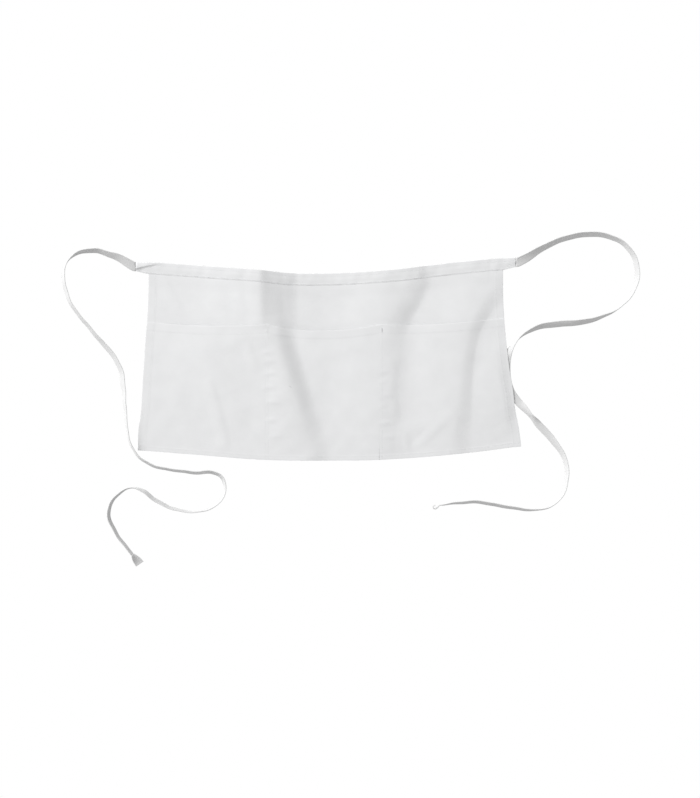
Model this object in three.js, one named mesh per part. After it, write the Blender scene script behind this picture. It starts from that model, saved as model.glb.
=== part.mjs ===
// A waist apron with three pockets, laid flat on its back with its two ties loose beside it.
// Millimetres, +Z up. The surface that it lies on is z = 0, +X is the wearer's left, and +Y is the waist.
import * as THREE from 'three';

// The cloth
const clothThickness = 1.0;
const hemTurn = 0.8; // what the turned edge adds to the cloth
const clearance = 0.3;

// The body's cut
const hemWidth = 610;
const waistWidth = 564;
const waistShift = -5.6; // the waist lies a little to one side of the hem
const bodyHeight = 297;
const edgeSag = 25.5; // the waist and the hem both lie in a shallow curve
const sideHemWidth = 12.5;
const bottomHemWidth = 7;
const turnStep = 1.2; // the length over which a turned edge steps down to the plain cloth

// The pockets
const pocketHeight = 212;
const pocketSideDrop = 10; // the mouth is lower at the apron's sides
const mouthDip = 6; // the mouth hangs lower between two seams
const mouthFullness = 0.8; // under 1 the dip is fuller than a sine
const mouthHemWidth = 14;
const middlePocketWidth = 181.5;
const middlePocketShift = -8.8;
const seamWidth = 6;
const pocketRoom = 6.4; // how far the panel stands off the body in the middle of a pocket
const seamShoulder = 36; // the lengths over which it rises to that from a seam and from the hem
const hemShoulder = 64;

// The waistband
const bandHeight = 19;
const bandClimb = 22; // the length over which the body climbs from the surface into the band
const bandBend = 1.2; // the rounding of the fold along the band's top
const tabLength = 20;
const tabEndHeight = 15;
const tabEndRise = 2.4; // the tab's foot rises this far on the way to its end
const tabEndThickness = 2.6;
const tabSlot = 3;

// The ties
const tieWidth = 12;
const tieThickness = 1.5;
const tieStartWidth = 14.5;
const tieTaper = 45; // the length over which the tie narrows from the tab's width to its own
const tieLead = 7; // the tie's first stretch, straight out of the tab
const leftFanWidth = 14.5;
const leftFanThickness = 2.2;
const rightCurlHeight = 10;
const endGap = 0.5; // between a tie and its turned end
const tapeStepsPerRow = 2;

// The folds
const foldHeight = 6;
const foldSpread = 30;

// The side edges: at each share of the height, how much of the way each edge has come in from the hem's
// width to the waist's.
const sideCurve = [
  { up: 0.0, left: 0.0, right: 0.0 },
  { up: 0.1, left: 0.04, right: 0.13 },
  { up: 0.2, left: 0.27, right: 0.33 },
  { up: 0.3, left: 0.38, right: 0.45 },
  { up: 0.4, left: 0.47, right: 0.63 },
  { up: 0.5, left: 0.6, right: 0.76 },
  { up: 0.6, left: 0.7, right: 0.87 },
  { up: 0.7, left: 0.84, right: 0.95 },
  { up: 0.8, left: 0.93, right: 1.0 },
  { up: 1.0, left: 1.0, right: 1.0 },
];

// The hem's and the waist's curve: at each share of the width, the rise above its lowest place as a share
// of edgeSag.
const edgeCurve = [
  { across: 0.0, hem: 0.63, waist: 0.75 },
  { across: 0.1, hem: 0.46, waist: 0.6 },
  { across: 0.2, hem: 0.27, waist: 0.435 },
  { across: 0.3, hem: 0.08, waist: 0.28 },
  { across: 0.4, hem: 0.0, waist: 0.06 },
  { across: 0.5, hem: 0.0, waist: 0.04 },
  { across: 0.6, hem: 0.02, waist: 0.13 },
  { across: 0.7, hem: 0.14, waist: 0.3 },
  { across: 0.8, hem: 0.33, waist: 0.57 },
  { across: 0.9, hem: 0.58, waist: 0.81 },
  { across: 1.0, hem: 0.87, waist: 1.0 },
];

// The folds, each a crest that falls away to its left and its right. A crest's rows give its place as
// shares of the hem's width and the body's height from the middle, and its rise as a share of foldHeight.
// left and right are how far the fold spreads, as shares of foldSpread.
const folds = [
  {
    name: 'fold left of the middle pocket, from the waist to the hem',
    left: 1.3,
    right: 1.35,
    crest: [
      { across: -0.187, up: 0.56, rise: 1.0 },
      { across: -0.184, up: 0.32, rise: 1.0 },
      { across: -0.176, up: 0.16, rise: 0.85 },
      { across: -0.155, up: 0.07, rise: 0.6 },
      { across: -0.124, up: -0.06, rise: 0.55 },
      { across: -0.1, up: -0.19, rise: 0.5 },
      { across: -0.08, up: -0.33, rise: 0.45 },
      { across: -0.056, up: -0.5, rise: 0.35 },
    ],
  },
  {
    name: 'fold from the waist down the right seam',
    left: 1.0,
    right: 1.3,
    crest: [
      { across: 0.214, up: 0.56, rise: 0.7 },
      { across: 0.213, up: 0.4, rise: 0.7 },
      { across: 0.196, up: 0.31, rise: 0.65 },
      { across: 0.17, up: 0.24, rise: 0.55 },
      { across: 0.145, up: 0.16, rise: 0.45 },
      { across: 0.128, up: 0.05, rise: 0.4 },
      { across: 0.127, up: -0.22, rise: 0.35 },
      { across: 0.13, up: -0.43, rise: 0.15 },
    ],
  },
  {
    name: 'long fold down the right pocket',
    left: 1.0,
    right: 0.85,
    crest: [
      { across: 0.414, up: 0.37, rise: 0.2 },
      { across: 0.378, up: 0.26, rise: 0.6 },
      { across: 0.354, up: 0.15, rise: 0.7 },
      { across: 0.343, up: -0.02, rise: 0.7 },
      { across: 0.333, up: -0.18, rise: 0.7 },
      { across: 0.32, up: -0.35, rise: 0.6 },
      { across: 0.315, up: -0.47, rise: 0.4 },
    ],
  },
  {
    name: 'short slant fold at the foot of the right pocket',
    left: 0.8,
    right: 0.8,
    crest: [
      { across: 0.299, up: -0.25, rise: 0.1 },
      { across: 0.268, up: -0.33, rise: 0.4 },
      { across: 0.236, up: -0.38, rise: 0.35 },
      { across: 0.21, up: -0.43, rise: 0.15 },
    ],
  },
];

// Where the right edge lies over a stretch of the right tie. It lifts clear of the tape.
const tieLift = {
  left: 0.62,
  right: 1.2,
  crest: [
    { across: 0.477, up: 0.128, rise: 0.0 },
    { across: 0.47, up: 0.027, rise: 0.97 },
    { across: 0.466, up: -0.04, rise: 0.8 },
    { across: 0.467, up: -0.108, rise: 0.55 },
    { across: 0.477, up: -0.175, rise: 0.5 },
    { across: 0.489, up: -0.236, rise: 0.42 },
    { across: 0.502, up: -0.303, rise: 0.0 },
  ],
};

// Each tie's route over the surface, past its straight lead: its centre line, and lean, the angle in
// degrees by which the tape is rolled up from flat on its right-hand edge. At 90 it stands on edge.
const leftRoute = [
  { x: -334, y: 159, lean: 150 },
  { x: -353, y: 168, lean: 134 },
  { x: -373, y: 173, lean: 126 },
  { x: -397, y: 170, lean: 120 },
  { x: -414, y: 158, lean: 116 },
  { x: -423, y: 139, lean: 117 },
  { x: -420, y: 112, lean: 122 },
  { x: -411, y: 88, lean: 115 },
  { x: -393, y: 63, lean: 116 },
  { x: -369, y: 35, lean: 122 },
  { x: -353, y: 18, lean: 131 },
  { x: -340, y: -1, lean: 128 },
  { x: -331, y: -21, lean: 132 },
  { x: -328, y: -43, lean: 130 },
  { x: -326, y: -68, lean: 116 },
  { x: -323, y: -94, lean: 108 },
  { x: -320, y: -120, lean: 104 },
  { x: -314, y: -140, lean: 104 },
  { x: -303, y: -156, lean: 106 },
  { x: -286, y: -167, lean: 108 },
  { x: -262, y: -174, lean: 106 },
  { x: -235, y: -178, lean: 104 },
  { x: -209, y: -180, lean: 106 },
  { x: -187, y: -180, lean: 108 },
  { x: -172, y: -188, lean: 110 },
  { x: -166, y: -207, lean: 104 },
  { x: -175, y: -228, lean: 107 },
  { x: -195, y: -240, lean: 96 },
  { x: -221, y: -243, lean: 88 },
  { x: -251, y: -237, lean: 80 },
  { x: -278, y: -223, lean: 72 },
  { x: -297, y: -210, lean: 70 },
  { x: -312, y: -205, lean: 88 },
  { x: -329, y: -210, lean: 100 },
  { x: -345, y: -226, lean: 106 },
  { x: -351, y: -248, lean: 112 },
  { x: -339, y: -277, lean: 110 },
  { x: -313, y: -310, lean: 106 },
];
const rightRoute = [
  { x: 314, y: 162, lean: 28 },
  { x: 332, y: 173, lean: 46 },
  { x: 356, y: 185, lean: 49 },
  { x: 384, y: 195, lean: 50 },
  { x: 416, y: 199, lean: 50 },
  { x: 447, y: 195, lean: 60 },
  { x: 469, y: 183, lean: 64 },
  { x: 485, y: 161, lean: 56 },
  { x: 490, y: 134, lean: 50 },
  { x: 483, y: 107, lean: 68 },
  { x: 464, y: 84, lean: 92 },
  { x: 439, y: 69, lean: 116 },
  { x: 407, y: 60, lean: 133 },
  { x: 370, y: 56, lean: 142 },
  { x: 338, y: 52, lean: 132 },
  { x: 313, y: 42, lean: 108 },
  { x: 296, y: 27, lean: 84 },
  { x: 288, y: 14, lean: 62 },
  { x: 284, y: 0, lean: 18 },
  { x: 284, y: -25, lean: 4 },
  { x: 291, y: -50, lean: 2 },
  { x: 304, y: -70, lean: 6 },
  { x: 313, y: -81, lean: 40 },
  { x: 321, y: -91, lean: 58 },
  { x: 333, y: -104, lean: 20 },
  { x: 351, y: -123, lean: 24 },
  { x: 365, y: -141, lean: 46 },
  { x: 375, y: -161, lean: 58 },
  { x: 378, y: -184, lean: 63 },
  { x: 374, y: -208, lean: 70 },
  { x: 361, y: -228, lean: 82 },
  { x: 340, y: -239, lean: 94 },
  { x: 313, y: -240, lean: 108 },
  { x: 278, y: -234, lean: 114 },
  { x: 236, y: -228, lean: 114 },
  { x: 203, y: -229, lean: 108 },
  { x: 179, y: -232, lean: 94 },
];
// The left tie ends in its turned end, which opens out flat. The right one's turned end curls on edge.
const leftEndRoute = [
  { x: -313, y: -310, lean: 106 },
  { x: -310, y: -314.5, lean: 132 },
  { x: -306.5, y: -319.5, lean: 158 },
  { x: -302, y: -326, lean: 174 },
];
const rightEndRoute = [
  { x: 179, y: -232, lean: 94 },
  { x: 174.8, y: -232.9, lean: 92 },
  { x: 171.3, y: -236.6, lean: 90 },
  { x: 167.4, y: -238.2, lean: 90 },
  { x: 164.6, y: -236.6, lean: 90 },
  { x: 165.2, y: -233.2, lean: 90 },
  { x: 168.2, y: -232.4, lean: 90 },
];

const smooth = (share) => THREE.MathUtils.smoothstep(share, 0, 1);
const mix = THREE.MathUtils.lerp;

// A value from a table's column at a place along its key, on a smooth curve through the rows.
function curveValue(rows, key, column, place) {
  let row = 0;
  while (row < rows.length - 2 && rows[row + 1][key] < place) row += 1;
  const share = (place - rows[row][key]) / (rows[row + 1][key] - rows[row][key]);
  const before = rows[Math.max(row - 1, 0)][column];
  const after = rows[Math.min(row + 2, rows.length - 1)][column];
  const [from, to] = [rows[row][column], rows[row + 1][column]];
  const slopes = [(to - before) / 2, (after - from) / 2];
  const cube = share ** 3;
  const square = share ** 2;
  return from * (2 * cube - 3 * square + 1) + slopes[0] * (cube - 2 * square + share)
    + to * (3 * square - 2 * cube) + slopes[1] * (cube - square);
}

// The body's outline. up is a height above the hem and across a share of the width.
const hemBase = -(bodyHeight + edgeSag) / 2;
const waistBase = hemBase + bodyHeight;
const waistEdges = [waistShift - waistWidth / 2, waistShift + waistWidth / 2];
const hemEdges = [-hemWidth / 2, hemWidth / 2];
const pocketSeams = [-1, 1].map((side) => middlePocketShift + side * middlePocketWidth / 2);

function edgeAt(side, up) {
  const column = side === 0 ? 'left' : 'right';
  return mix(hemEdges[side], waistEdges[side], curveValue(sideCurve, 'up', column, up / bodyHeight));
}

function heightAt(x, up) {
  const [left, right] = [edgeAt(0, up), edgeAt(1, up)];
  const across = THREE.MathUtils.clamp((x - left) / (right - left), 0, 1);
  const hem = hemBase + edgeSag * curveValue(edgeCurve, 'across', 'hem', across);
  const waist = waistBase + edgeSag * curveValue(edgeCurve, 'across', 'waist', across);
  return mix(hem, waist, up / bodyHeight);
}

// How high one fold lifts the cloth at a point.
function foldRise(fold, x, y) {
  let nearest = { distance: Infinity, rise: 0, east: true };
  for (let row = 0; row + 1 < fold.crest.length; row += 1) {
    const [from, to] = [fold.crest[row], fold.crest[row + 1]];
    const start = [from.across * hemWidth, from.up * bodyHeight];
    const run = [to.across * hemWidth - start[0], to.up * bodyHeight - start[1]];
    const reach = ((x - start[0]) * run[0] + (y - start[1]) * run[1]) / (run[0] ** 2 + run[1] ** 2);
    const share = THREE.MathUtils.clamp(reach, 0, 1);
    const foot = [start[0] + run[0] * share, start[1] + run[1] * share];
    const distance = Math.hypot(x - foot[0], y - foot[1]);
    if (distance < nearest.distance) {
      nearest = { distance, rise: mix(from.rise, to.rise, share), east: x > foot[0] };
    }
  }
  const spread = foldSpread * (nearest.east ? fold.right : fold.left);
  const fall = Math.min(nearest.distance / spread, 1);
  return foldHeight * nearest.rise * (1 + Math.cos(Math.PI * fall)) / 2;
}

// The underside of the body at a point: the surface, and what the folds add.
function groundAt(x, y) {
  const lifts = [...folds, tieLift].map((fold) => foldRise(fold, x, y));
  return Math.max(...lifts);
}

// The columns of the cloth, from side to side. Each is an edge or a seam, a lead from it in millimetres,
// and a share of the pocket's width. roomy is 1 where the panel stands off the body.
const hemStep = sideHemWidth + turnStep;
const seamHalf = seamWidth / 2;
const pocketPads = [[hemStep, seamHalf], [seamHalf, seamHalf], [seamHalf, hemStep]];
const pocketColumns = [13, 12, 13];
const columns = [
  { pocket: 0, lead: 0, share: 0 },
  { pocket: 0, lead: sideHemWidth, share: 0 },
  ...pocketColumns.flatMap((count, pocket) => Array.from({ length: count + 1 }, (_, step) => {
    const share = step / count;
    const [start, end] = pocketPads[pocket];
    return { pocket, lead: mix(start, -end, share), share };
  })),
  { pocket: 2, lead: -sideHemWidth, share: 1 },
  { pocket: 2, lead: 0, share: 1 },
];
const isSideHem = (column) => (column.pocket === 0 && column.share === 0 && column.lead < hemStep)
  || (column.pocket === 2 && column.share === 1 && column.lead > -hemStep);

function columnX(column, up) {
  const stops = [edgeAt(0, up), ...pocketSeams, edgeAt(1, up)];
  return mix(stops[column.pocket], stops[column.pocket + 1], column.share) + column.lead;
}

// The mouth's height above the hem in a column.
function mouthAt(column) {
  const dip = mouthDip * Math.sin(Math.PI * column.share) ** mouthFullness;
  const outward = { 0: 1 - column.share, 1: 0, 2: column.share }[column.pocket];
  return pocketHeight - pocketSideDrop * outward ** 2 - dip;
}

// The rows of the cloth, from the hem up. Each is a share of the pocket's mouth height and a lead in
// millimetres, and those above the mouth a share of the way on to the waist's end.
const waistEnd = bodyHeight - clothThickness - clearance;
const bandFoot = bodyHeight - bandHeight;
const pocketRowCount = 9;
const hemRows = [{ lead: 0, share: 0 }, { lead: bottomHemWidth, share: 0 }];
const panelRows = Array.from({ length: pocketRowCount + 1 }, (_, step) => {
  const share = step / pocketRowCount;
  return { lead: mix(bottomHemWidth + turnStep, -(mouthHemWidth + turnStep), share), share };
});
const mouthRows = [{ lead: -mouthHemWidth, share: 1 }, { lead: 0, share: 1 }];
const pocketRows = [...hemRows, ...panelRows, ...mouthRows];
const plainRowCount = 3;
const upperRows = [
  ...Array.from({ length: plainRowCount }, (_, step) => {
    return { from: 'mouth', to: bandFoot - bandClimb, share: (step + 1) / plainRowCount };
  }),
  { from: 'band', to: bandFoot - turnStep, share: 0.5 },
  { from: 'band', to: bandFoot, share: 1 },
  { from: 'band', to: waistEnd, share: 1 },
];
const bodyRows = [...pocketRows, ...upperRows];

function rowUp(row, column) {
  const mouth = mouthAt(column);
  if (row.from === 'mouth') return mix(mouth, row.to, row.share);
  if (row.from === 'band') return mix(bandFoot - bandClimb, row.to, row.share);
  return mouth * row.share + row.lead;
}

// The body's under and upper faces at a column and a row. The body climbs into the band's slot.
function bodyPoint(column, row) {
  const up = rowUp(row, column);
  const x = columnX(column, up);
  const y = heightAt(x, up);
  const climb = smooth((up - bandFoot + bandClimb) / (bandClimb - turnStep));
  const low = groundAt(x, y) + (clothThickness + clearance) * climb;
  const inBottomHem = up <= bottomHemWidth;
  const inSideHem = isSideHem(column) && up <= bandFoot - bandClimb;
  const turn = inBottomHem || inSideHem ? hemTurn : 0;
  return { x, y, low, high: low + clothThickness + turn };
}

// How far the panel stands off the body: nothing at the seams and the hems, and the pocket's room inside.
function roomAt(column, row) {
  if (isSideHem(column) || row.share === 0) return 0;
  const [start, end] = pocketPads[column.pocket];
  const width = pocketSeams[1] - pocketSeams[0];
  const fromSeam = Math.min(column.share, 1 - column.share) * (width - start - end);
  const fromHem = row.share * pocketHeight;
  return pocketRoom * smooth(fromSeam / seamShoulder) * smooth(fromHem / hemShoulder);
}

function pocketPoint(column, row) {
  const { x, y, high } = bodyPoint(column, row);
  const low = high + clearance + roomAt(column, row);
  const turn = mouthRows.includes(row) ? hemTurn : 0;
  return { x, y, low, high: low + clothThickness + turn };
}

// A closed sheet from its under and upper faces, with each cell split the same way on both.
function sheetGeometry(columnList, rowList, pointAt) {
  const wide = columnList.length;
  const tall = rowList.length;
  const points = rowList.flatMap((row) => columnList.map((column) => pointAt(column, row)));
  const positions = [
    ...points.flatMap(({ x, y, low }) => [x, y, low]),
    ...points.flatMap(({ x, y, high }) => [x, y, high]),
  ];
  const upper = points.length;
  const faces = [];
  for (let row = 0; row + 1 < tall; row += 1) {
    for (let column = 0; column + 1 < wide; column += 1) {
      const a = row * wide + column;
      const [b, c, d] = [a + 1, a + wide + 1, a + wide];
      faces.push(a, c, b, a, d, c);
      faces.push(upper + a, upper + b, upper + c, upper + a, upper + c, upper + d);
    }
  }
  const rim = [
    ...Array.from({ length: wide - 1 }, (_, i) => i),
    ...Array.from({ length: tall - 1 }, (_, i) => i * wide + wide - 1),
    ...Array.from({ length: wide - 1 }, (_, i) => tall * wide - 1 - i),
    ...Array.from({ length: tall - 1 }, (_, i) => (tall - 1 - i) * wide),
  ];
  rim.forEach((a, i) => {
    const b = rim[(i + 1) % rim.length];
    faces.push(a, b, upper + b, a, upper + b, upper + a);
  });
  return closedGeometry(positions, faces);
}

function closedGeometry(positions, faces) {
  const geometry = new THREE.BufferGeometry();
  geometry.setAttribute('position', new THREE.Float32BufferAttribute(positions, 3));
  geometry.setIndex(faces);
  geometry.computeVertexNormals();
  return geometry;
}

// A closed body through rings of points, each ring in the same order.
function loftGeometry(rings) {
  const size = rings[0].length;
  const faces = [];
  for (let ring = 0; ring + 1 < rings.length; ring += 1) {
    for (let i = 0; i < size; i += 1) {
      const next = (i + 1) % size;
      const [a, b] = [ring * size + i, ring * size + next];
      faces.push(a, b, b + size, a, b + size, a + size);
    }
  }
  const outline = rings[0].map((point) => new THREE.Vector2(point.flatA, point.flatB));
  const cap = THREE.ShapeUtils.triangulateShape(outline, []);
  const last = (rings.length - 1) * size;
  cap.forEach(([a, b, c]) => {
    faces.push(a, c, b);
    faces.push(last + a, last + b, last + c);
  });
  return closedGeometry(rings.flatMap((ring) => ring.flatMap(({ x, y, z }) => [x, y, z])), faces);
}

// The band is one strip folded over the body's top edge, open along its foot. Past the sides it narrows
// and closes into a tab. A ring is the strip's section, with flatA up from the foot and flatB off the back.
const slotHeight = clothThickness + 2 * clearance;
const bandThickness = 2 * clothThickness + slotHeight;
const bandDepth = bandHeight - clothThickness;

function bandRing(xAt, yAt, { tall, thick, wall, depth }, groundOf) {
  const bend = Math.min(bandBend, thick / 3);
  const section = [
    [0, 0], [tall - bend, 0], [tall, bend], [tall, thick - bend], [tall - bend, thick],
    [0, thick], [0, thick - wall], [depth, thick - wall], [depth, wall], [0, wall],
  ];
  return section.map(([up, off]) => {
    const [x, y] = [xAt(up), yAt(up)];
    return { x, y, z: groundOf(x, y) + off, flatA: up, flatB: off };
  });
}

function bandRingAt(column) {
  const xAt = (up) => columnX(column, bandFoot + up);
  const yAt = (up) => heightAt(xAt(up), bandFoot + up);
  const sizes = { tall: bandHeight, thick: bandThickness, wall: clothThickness, depth: bandDepth };
  return bandRing(xAt, yAt, sizes, groundAt);
}

// The tab's ring at a share of its length past one side.
function tabRing(side, share) {
  const column = side === 0 ? columns[0] : columns[columns.length - 1];
  const out = side === 0 ? -1 : 1;
  const foot = heightAt(columnX(column, bandFoot), bandFoot) + tabEndRise * share;
  const xAt = (up) => columnX(column, bandFoot + up) + out * tabLength * share;
  const sizes = {
    tall: mix(bandHeight, tabEndHeight, share),
    thick: mix(bandThickness, tabEndThickness, share),
    wall: mix(clothThickness, tabEndThickness / 2 - clearance, share),
    depth: mix(bandDepth, tabSlot, Math.min(1, 2 * share)),
  };
  return bandRing(xAt, (up) => foot + up, sizes, () => 0);
}

// The middle of the tab's far end.
function tabEnd(side) {
  const ring = tabRing(side, 1);
  const outermost = side === 0 ? Math.min : Math.max;
  return { x: outermost(...ring.map(({ x }) => x)), y: (ring[0].y + ring[2].y) / 2 };
}

function bandGeometry() {
  const shares = [0.5, 1];
  return loftGeometry([
    ...shares.toReversed().map((share) => tabRing(0, share)),
    ...columns.map(bandRingAt),
    ...shares.map((share) => tabRing(1, share)),
  ]);
}

// The tape's section with its corners cut, in shares of its width and its thickness
const tapeSection = [
  { broad: -0.5, thin: -0.3 },
  { broad: -0.4, thin: -0.5 },
  { broad: 0.4, thin: -0.5 },
  { broad: 0.5, thin: -0.3 },
  { broad: 0.5, thin: 0.3 },
  { broad: 0.4, thin: 0.5 },
  { broad: -0.4, thin: 0.5 },
  { broad: -0.5, thin: 0.3 },
];

// A flat tape along a route, rolled by each row's lean, with its lowest edge on the surface. trim is the
// length that its start leaves free.
function tapeGeometry(route, widthAt, thicknessAt, trim = 0) {
  const points = route.map(({ x, y }) => new THREE.Vector3(x, y, 0));
  const line = new THREE.CatmullRomCurve3(points, false, 'centripetal');
  const rows = route.map((row, index) => ({ ...row, index }));
  const steps = (route.length - 1) * tapeStepsPerRow;
  let gone = 0;
  let last = line.getPoint(0);
  const rings = Array.from({ length: steps + 1 }, (_, step) => {
    const place = step / steps;
    const centre = line.getPoint(place);
    const along = line.getTangent(place);
    gone += centre.distanceTo(last);
    last = centre.clone();
    if (step === 0) centre.addScaledVector(along, trim);
    const lean = THREE.MathUtils.degToRad(curveValue(rows, 'index', 'lean', place * (route.length - 1)));
    const left = new THREE.Vector3(-along.y, along.x, 0);
    const up = new THREE.Vector3(0, 0, 1);
    const broad = left.clone().multiplyScalar(Math.cos(lean)).addScaledVector(up, Math.sin(lean));
    const thin = left.clone().multiplyScalar(-Math.sin(lean)).addScaledVector(up, Math.cos(lean));
    const [width, thick] = [widthAt(gone, place), thicknessAt(place)];
    const section = tapeSection.map((corner) => {
      const [flatA, flatB] = [corner.broad * width, corner.thin * thick];
      const { x, y, z } = centre.clone().addScaledVector(broad, flatA).addScaledVector(thin, flatB);
      return { x, y, z, flatA, flatB };
    });
    const lowest = Math.min(...section.map(({ z }) => z));
    return section.map((point) => ({ ...point, z: point.z - lowest }));
  });
  return loftGeometry(rings);
}

// A tie starts flat, face to face with its tab, and keeps the tab's width a little way.
function tieGeometry(side, route) {
  const out = side === 0 ? -1 : 1;
  const end = tabEnd(side);
  const flat = side === 0 ? 180 : 0;
  const start = [0, tieLead].map((lead) => ({ x: end.x + out * (clearance + lead), y: end.y, lean: flat }));
  const widthAt = (gone) => mix(tieStartWidth, tieWidth, smooth(gone / tieTaper));
  return tapeGeometry([...start, ...route], widthAt, () => tieThickness);
}

function leftEndGeometry() {
  const widthAt = (gone, place) => mix(tieWidth, leftFanWidth, place);
  const thicknessAt = (place) => mix(tieThickness, leftFanThickness, place);
  return tapeGeometry(leftEndRoute, widthAt, thicknessAt, endGap);
}

function rightEndGeometry() {
  const widthAt = (gone, place) => mix(tieWidth, rightCurlHeight, place);
  return tapeGeometry(rightEndRoute, widthAt, () => tieThickness, endGap);
}

// The materials
function fabric(name, color, roughness) {
  return new THREE.MeshStandardMaterial({ name, color, roughness, metalness: 0 });
}

const cloth = fabric('cloth', 0xe9eaec, 0.92);
const pocketCloth = fabric('pocket cloth', 0xe5e7ea, 0.92);
const bandCloth = fabric('band cloth', 0xe7e8ea, 0.92);
const tape = fabric('tape', 0xdfe0e2, 0.9);

const apron = new THREE.Group();
apron.name = 'waist_apron';

function addPiece(name, geometry, material) {
  const piece = new THREE.Mesh(geometry, material);
  piece.name = name;
  apron.add(piece);
}

addPiece('apron_body', sheetGeometry(columns, bodyRows, bodyPoint), cloth);
addPiece('pocket_panel', sheetGeometry(columns, pocketRows, pocketPoint), pocketCloth);
addPiece('waistband', bandGeometry(), bandCloth);
addPiece('tie_left', tieGeometry(0, leftRoute), tape);
addPiece('tie_right', tieGeometry(1, rightRoute), tape);
addPiece('tie_end_left', leftEndGeometry(), tape);
addPiece('tie_end_right', rightEndGeometry(), tape);

export default apron;
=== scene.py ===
"""A white waist apron with three pockets and two loose tape ties, laid flat on its back.

Metres, +Z up. +X is the wearer's left and +Y is the waist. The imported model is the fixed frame, and each
piece here stands for one of its solids.
"""
import math

import bpy
import numpy as np
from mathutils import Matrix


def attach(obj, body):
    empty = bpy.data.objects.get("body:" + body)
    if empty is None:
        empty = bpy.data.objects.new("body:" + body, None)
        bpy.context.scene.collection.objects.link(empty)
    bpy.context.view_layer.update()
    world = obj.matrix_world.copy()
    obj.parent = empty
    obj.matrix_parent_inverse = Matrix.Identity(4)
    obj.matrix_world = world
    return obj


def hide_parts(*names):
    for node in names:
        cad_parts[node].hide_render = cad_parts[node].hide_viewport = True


# The cloth
CLOTH = 0.0005
HEM_TURN = 0.0001
CLEARANCE = 0.00015
EDGE_ROUND = 0.0003
THINNEST_EDGE = 0.5

# The cloth's own unevenness: its height, and its shortest and longest waves
UNEVEN_HEIGHT = 0.00012
UNEVEN = (UNEVEN_HEIGHT, 0.030, 0.090)
BAND_UNEVEN = (0.00015, 0.012, 0.045)
UNEVEN_WAVES = 14
BODY_SEED = 3
PANEL_SEED = 5
BAND_SEED = 8
LEAST_LIFT = -0.0004

# The lengths over which the unevenness and the creases come in
MOUTH_GAP = 0.0005
MOUTH_FADE = 0.012
EDGE_FADE = 0.02

# The body's cut
HEM_WIDTH = 0.610
WAIST_WIDTH = 0.564
WAIST_SHIFT = -0.0056
BODY_HEIGHT = 0.297
EDGE_SAG = 0.0255
SIDE_HEM = 0.0125
BOTTOM_HEM = 0.007
TURN_STEP = 0.0012

# The pockets
POCKET_HEIGHT = 0.212
POCKET_SIDE_DROP = 0.010
MOUTH_DIP = 0.006
MOUTH_FULLNESS = 0.8
MOUTH_HEM = 0.014
MIDDLE_POCKET_WIDTH = 0.1815
MIDDLE_POCKET_SHIFT = -0.0088
SEAM_WIDTH = 0.006
POCKET_ROOM = 0.0024
ROOM_FULLNESS = 1.3
ROOM_TOP = 0.9  # the share of the pocket's height at which it has its whole room

# The waistband
BAND_HEIGHT = 0.019
BAND_CLIMB = 0.022
TAB_LENGTH = 0.020
TAB_END_HEIGHT = 0.015
TAB_END_RISES = (0.0042, 0.0050)
TAB_END_THICKNESS = 0.0026
TAB_SLOT = 0.003
BAND_COLUMNS = 260
TAB_COLUMNS = 14

# The band's section: the length of its rounded folded edges, and the points along each of its parts
FOLD_LENGTH = 0.0006
FOLD_INSET = np.array([0.0002, 0, 0, 0.0002])
FOLD_ROUND = np.array([0.88, 0.65, 0.35, 0.12])
FOLD_TOP = np.array([0.7, 0.3, 0, 0])
RUN_POINTS = 8
TOP_POINTS = 30
BEND_POINTS = 9

# The upper face's folded foot is pressed flat to this share of the cloth, over this length
FOOT_EDGE = 0.1
FOOT_FALL = 0.010

# The ties
TIE_WIDTH = 0.012
TIE_THICKNESS = 0.0015
TIE_START_WIDTH = 0.0150
TIE_TAPER = 0.060
TIE_LEAD = 0.0025
TIE_BOW = 0.25
TIE_BOW_WAVES = ((0.25, 0.13, 0.1), (0.15, 0.057, 0.4))
LEFT_RIPPLES = ((0.0003, 0.031, 0.2), (0.0003, 0.074, 0.6))
RIGHT_RIPPLES = ((0.0003, 0.034, 0.5), (0.0003, 0.081, 0.1))
LEAST_BOW = 1e-4
TAPE_STEP = 0.0016
SPAN_POINTS = 40

# The ties' turned ends
FAN_WIDTH = 0.0145
FAN_THICKNESS = 0.0022
FAN_BOW = 0.3
FAN_BOW_GROWS = 0.5
FAN_PLEAT_DEPTH = 0.0007
FAN_PLEAT_WIDTH = 0.0042
CURL_HEIGHT = 0.010
END_STEP = 0.0006
END_GAP = 0.0005

# The tape's section from edge to edge, as shares of its width, with its thickness there as a share
TAPE_ACROSS = np.array(
    [-0.5, -0.485, -0.45, -0.38, -0.28, -0.15, 0, 0.15, 0.23, 0.28, 0.32, 0.36, 0.41, 0.46, 0.485, 0.5]
)
TAPE_FULL = np.array([0.2, 0.62, 0.88, 1, 1, 1, 1, 1, 1, 0.95, 0.72, 0.95, 1, 0.88, 0.62, 0.2])
TAPE_STITCH = 0.32

# The sewing
STITCH_INSET = 0.0015
SIDE_STITCH = SIDE_HEM - STITCH_INSET
BOTTOM_STITCH = BOTTOM_HEM - STITCH_INSET
MOUTH_STITCH = MOUTH_HEM - STITCH_INSET
SEAM_STITCHES = (-0.0022, 0.0022)
SEAM_TOP_FADE = 0.004
BAND_STITCHES = (0.0015, 0.0055)
STITCH_DIP = 0.00005
VALLEY_WIDTH = 0.0009
STITCH_PITCH = 0.003
STITCH_LENGTH = 0.0025
THREAD = 0.0003

# A stitch's rings: place along it, radius and rise, as shares of its length and its thickness
STITCH_ALONG = np.array([-0.5, -0.42, -0.2, 0.2, 0.42, 0.5])
STITCH_RADIUS = np.array([0.3, 0.8, 1.0, 1.0, 0.8, 0.3])
STITCH_RISE = np.array([-0.5, -0.15, 0.1, 0.1, -0.15, -0.5])
STITCH_SIDES = 6

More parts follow.
